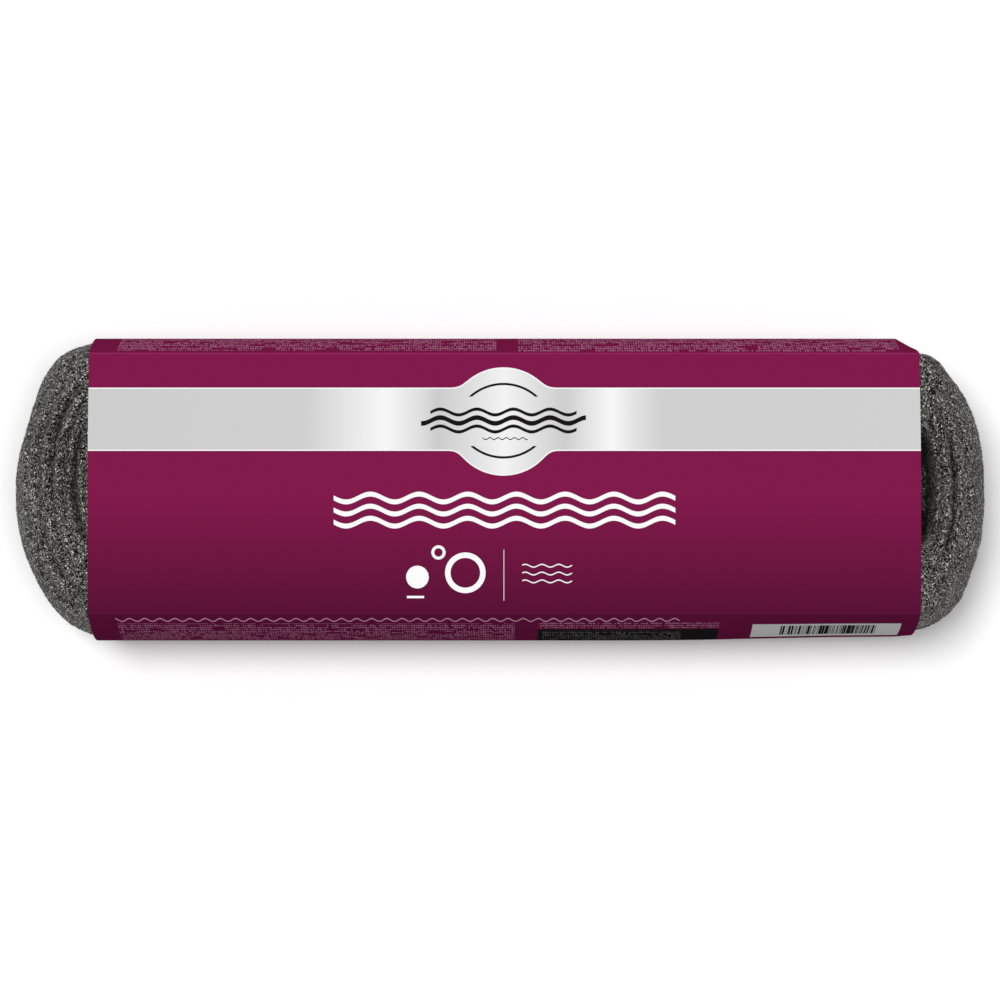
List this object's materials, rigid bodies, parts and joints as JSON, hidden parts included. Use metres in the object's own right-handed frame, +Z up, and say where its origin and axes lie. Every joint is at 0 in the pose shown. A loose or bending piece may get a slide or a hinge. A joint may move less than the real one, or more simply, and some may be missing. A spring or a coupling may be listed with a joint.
{
  "type": "steel wool pad",
  "caption": "Oblong pad of steel wool: a long ribbon of wool wound into a flat coil with round ends, held in a folded and glued printed card band.",
  "frame": {"origin": "on the surface that the pad rests on, below the middle of its bounding box", "axes": "+X along the pad, +Y across it towards the top edge of the front panel, +Z up out of the front panel"},
  "size_m": [0.2542, 0.0794, 0.06],
  "materials": {
    "steel_wool": "dark grey mat of fine steel fibres, with small glints",
    "printed_card": "satin coated board, printed burgundy with a silver stripe"
  },
  "bodies": {
    "root": {"wool_coil": "steel_wool", "card_band": "printed_card"}
  },
  "joints": []
}
